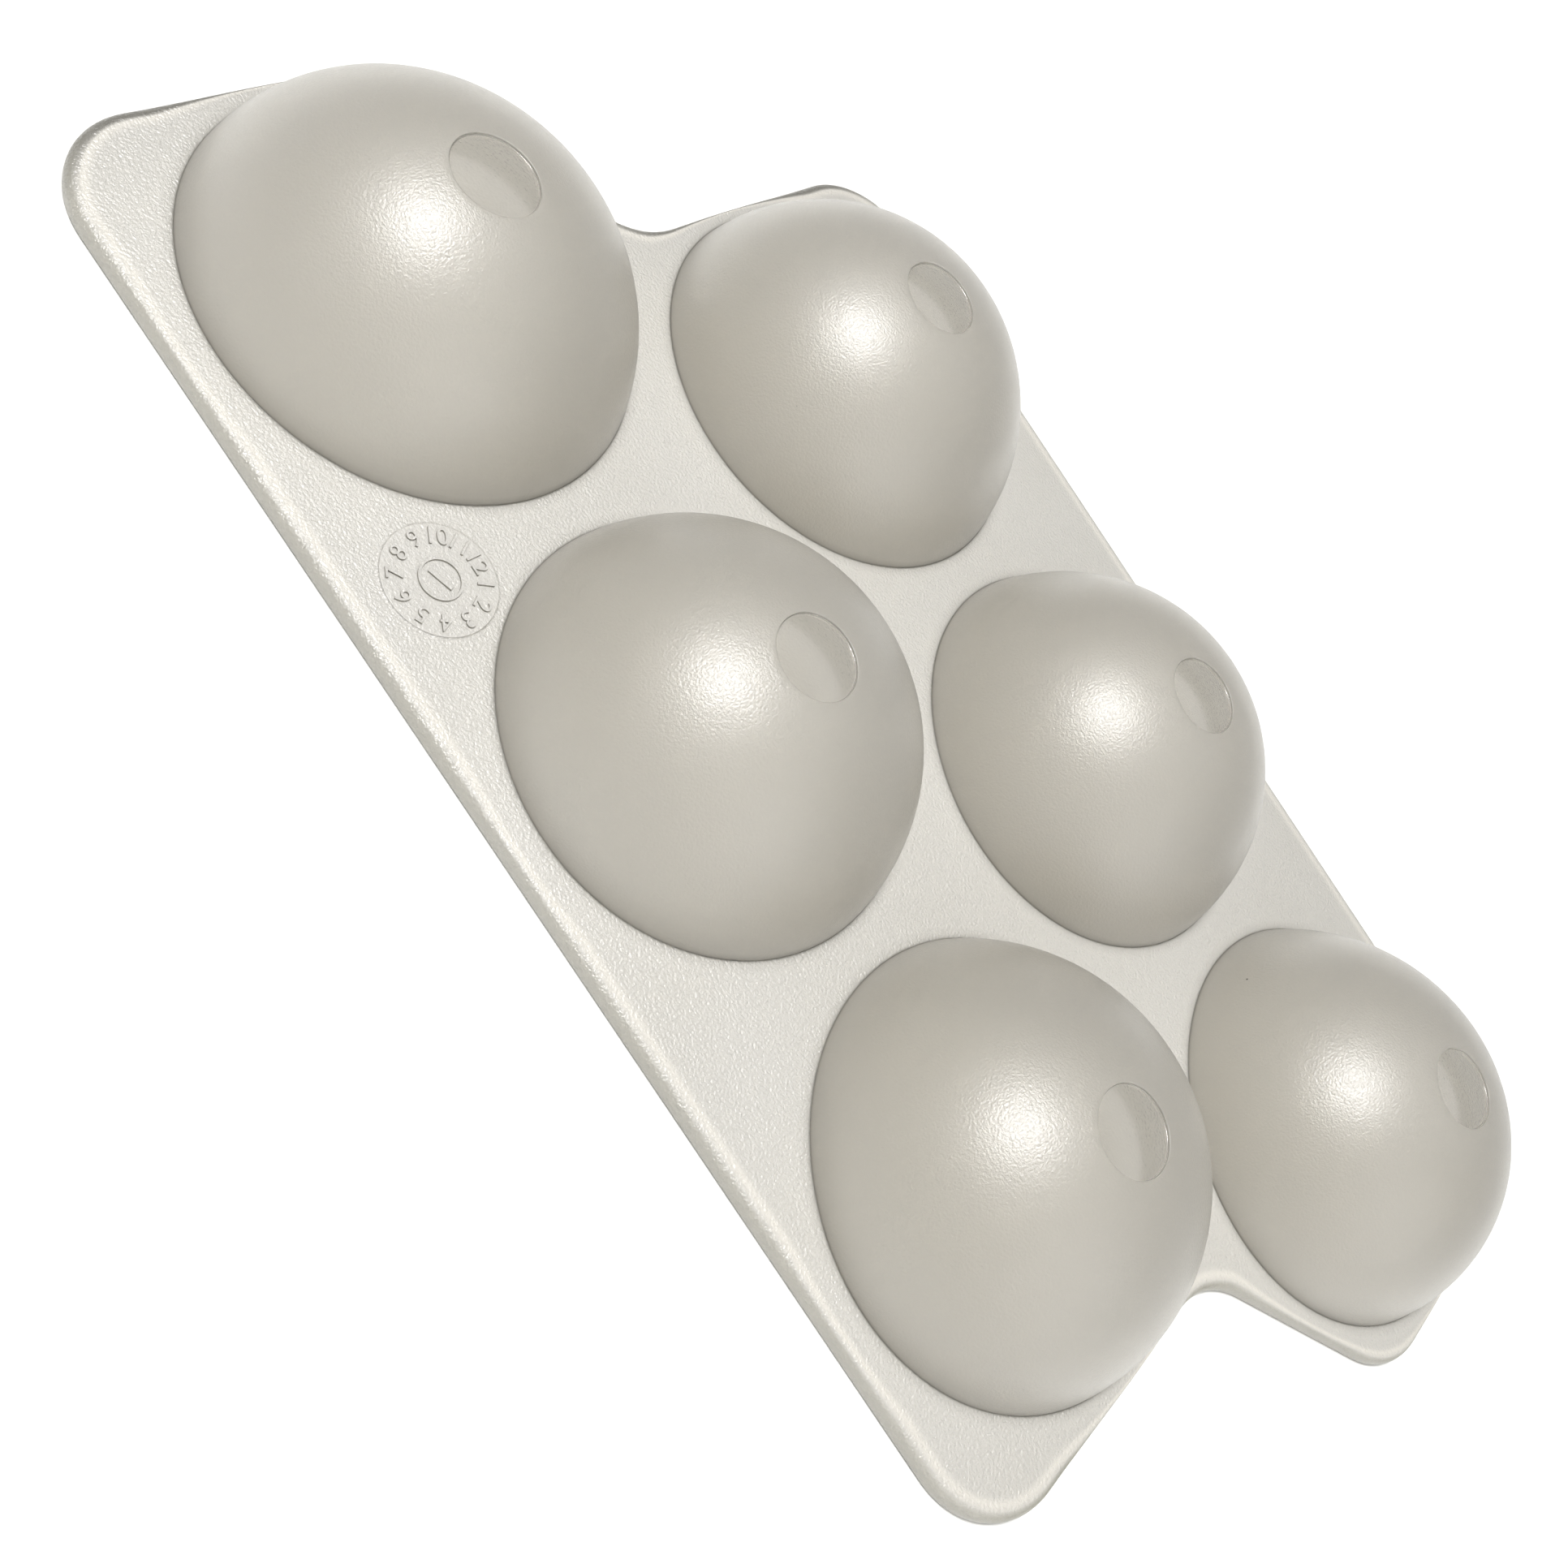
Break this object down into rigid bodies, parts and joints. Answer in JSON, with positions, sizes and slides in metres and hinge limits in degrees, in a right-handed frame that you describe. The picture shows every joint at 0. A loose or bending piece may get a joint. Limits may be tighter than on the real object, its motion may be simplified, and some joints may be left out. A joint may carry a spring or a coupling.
{
  "type": "egg tray",
  "caption": "Staggered two-row egg tray in frosted clear plastic: shallow domed cups hang from a thin flat deck with rounded corners and slanted steps between the rows.",
  "frame": {"origin": "middle of the flat deck face that the tray lies on, which is the egg side", "axes": "+X along the two rows, towards the end where the back row reaches further; +Y across the rows, towards the back row; +Z out of the closed ends of the cups. The tray lies upside down; turned half a turn about X it stands on its cups with their mouths up, as it is used"},
  "size_m": [0.173, 0.0964, 0.0193],
  "materials": {
    "frosted_polystyrene": "frosted, translucent, fine spark-eroded texture"
  },
  "bodies": {
    "root": {"deck": "frosted_polystyrene", "cup_front_1": "frosted_polystyrene", "cup_front_2": "frosted_polystyrene", "cup_front_3": "frosted_polystyrene", "cup_back_1": "frosted_polystyrene", "cup_back_2": "frosted_polystyrene", "cup_back_3": "frosted_polystyrene", "dial": "frosted_polystyrene"}
  },
  "joints": []
}
